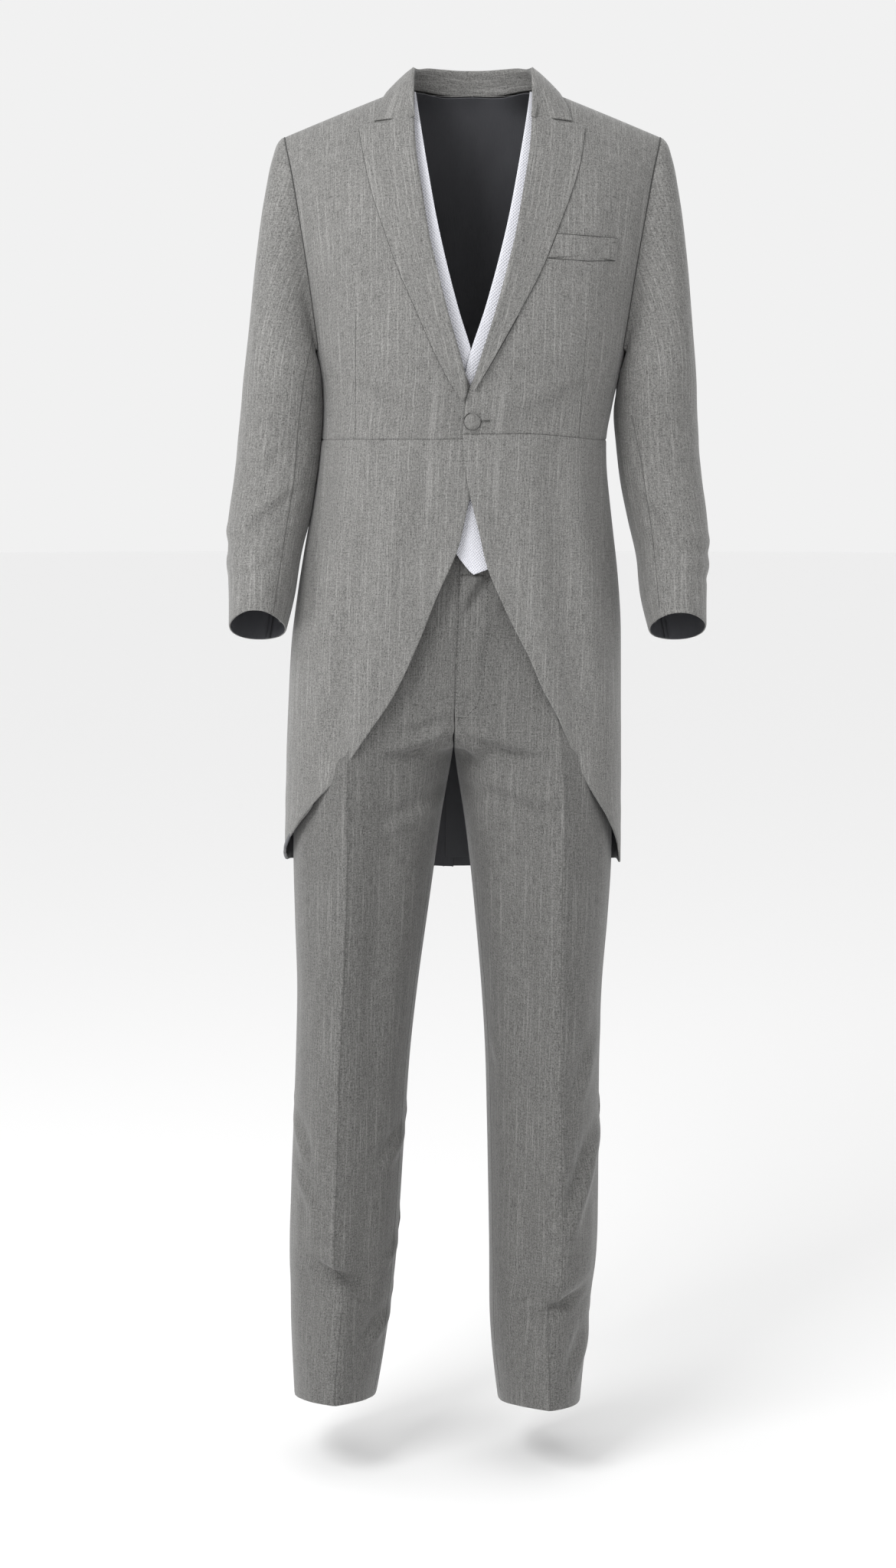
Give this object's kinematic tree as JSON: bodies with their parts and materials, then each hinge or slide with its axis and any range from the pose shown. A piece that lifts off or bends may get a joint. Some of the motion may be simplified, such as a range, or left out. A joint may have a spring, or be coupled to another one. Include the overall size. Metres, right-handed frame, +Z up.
{
  "type": "morning suit",
  "caption": "Morning suit as worn: grey cutaway tailcoat closed at the waist, peaked lapels, white pointed waistcoat and matching creased trousers, hollow inside.",
  "frame": {"origin": "base of the wearer's neck, midway between the shoulders that carry the coat", "axes": "+Z up along the wearer's spine, -Y out of the front, +X towards the wearer's left"},
  "size_m": [0.5606, 0.2792, 1.6026],
  "materials": {
    "wool": "matte mid grey worsted wool with faint lengthwise streaks",
    "pique": "matte white cotton pique",
    "lining": "soft sheen dark grey satin"
  },
  "bodies": {
    "root": {"coat_forepart_left": "wool", "coat_forepart_right": "wool", "coat_sidebody_left": "wool", "coat_sidebody_right": "wool", "coat_back_left": "wool", "coat_back_right": "wool", "coat_skirt_left": "wool", "coat_skirt_right": "wool", "coat_tail_lining_left": "lining", "coat_tail_lining_right": "lining", "coat_lapel_left": "wool", "coat_lapel_right": "wool", "coat_topsleeve_left": "wool", "coat_topsleeve_right": "wool", "coat_undersleeve_left": "wool", "coat_undersleeve_right": "wool", "coat_collar": "wool", "coat_breast_welt": "wool", "coat_front_button": "wool", "coat_back_button_left": "wool", "coat_back_button_right": "wool", "coat_cuff_button_1_left": "wool", "coat_cuff_button_1_right": "wool", "coat_cuff_button_2_left": "wool", "coat_cuff_button_2_right": "wool", "coat_cuff_button_3_left": "wool", "coat_cuff_button_3_right": "wool", "waistcoat_front_left": "pique", "waistcoat_front_right": "pique", "waistcoat_back": "lining", "trouser_front_left": "wool", "trouser_front_right": "wool", "trouser_back_left": "wool", "trouser_back_right": "wool", "trouser_waistband": "wool", "trouser_fly": "wool"}
  },
  "joints": []
}
